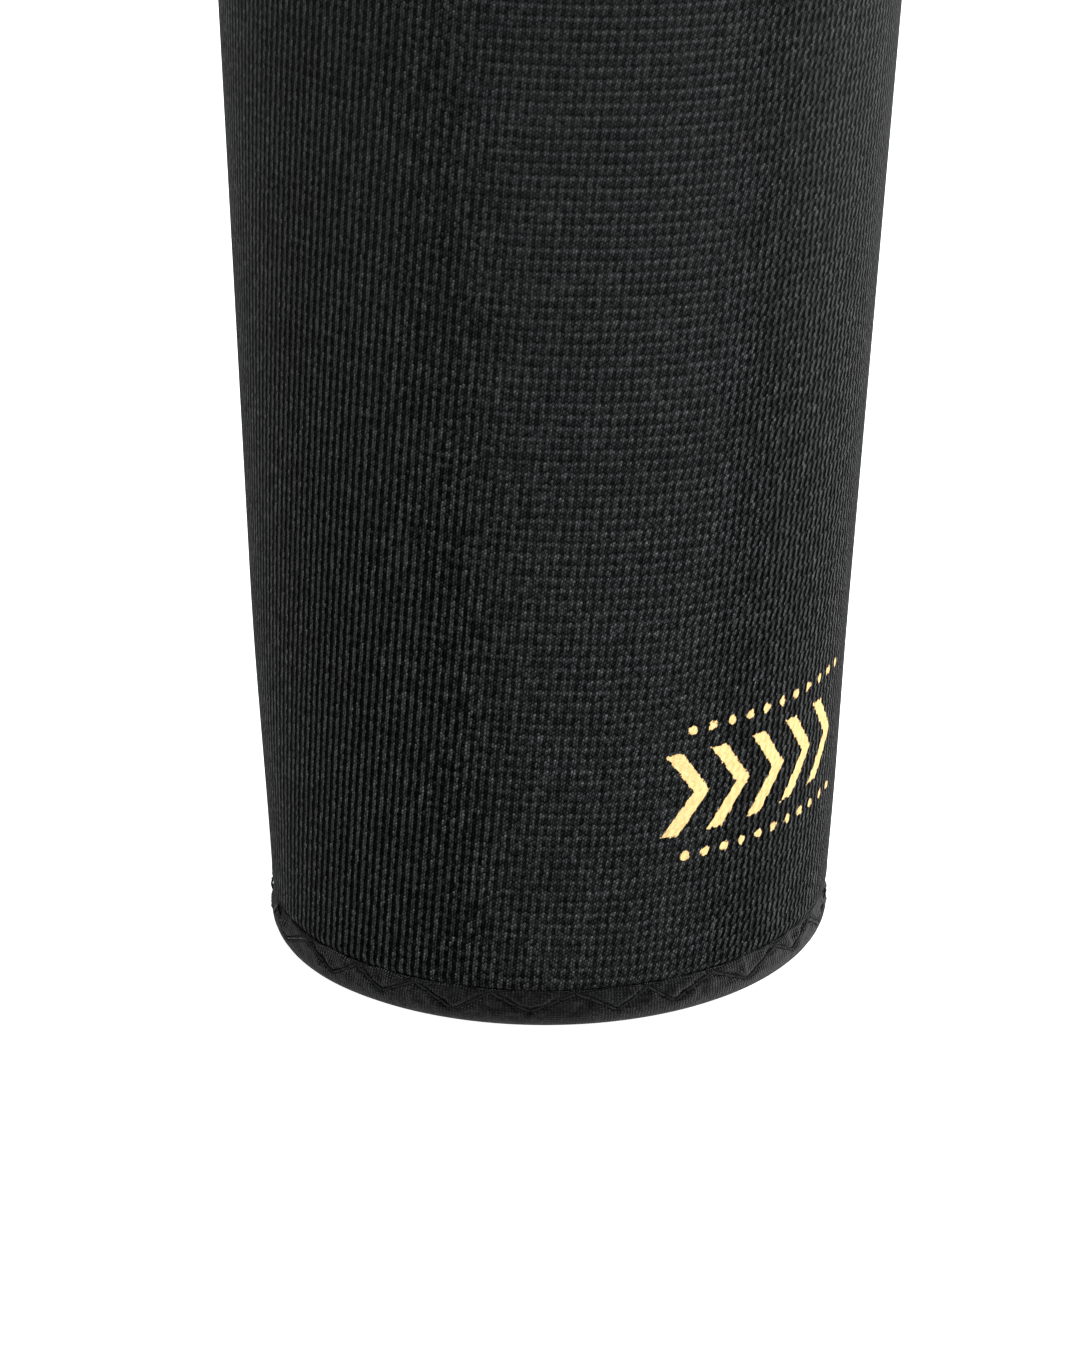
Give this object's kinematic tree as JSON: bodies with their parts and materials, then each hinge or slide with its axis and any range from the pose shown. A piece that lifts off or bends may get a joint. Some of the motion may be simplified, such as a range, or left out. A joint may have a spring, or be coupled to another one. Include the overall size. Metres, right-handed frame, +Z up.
{
  "type": "knee sleeve",
  "caption": "Pull-on knee sleeve: a tapered, open-ended tube of thick foam faced with knit, with folded tape stitched round both ends.",
  "frame": {"origin": "middle of the outline, on the floor that the calf end stands on", "axes": "+Z up the sleeve from the calf end to the thigh end, -Y out of the printed side"},
  "size_m": [0.1388, 0.1389, 0.3],
  "materials": {
    "knit_facing": "black ribbed knit laminated to foam",
    "binding_tape": "matte black jersey tape"
  },
  "bodies": {
    "root": {"sleeve_body": "knit_facing", "calf_binding": "binding_tape", "thigh_binding": "binding_tape"}
  },
  "joints": []
}
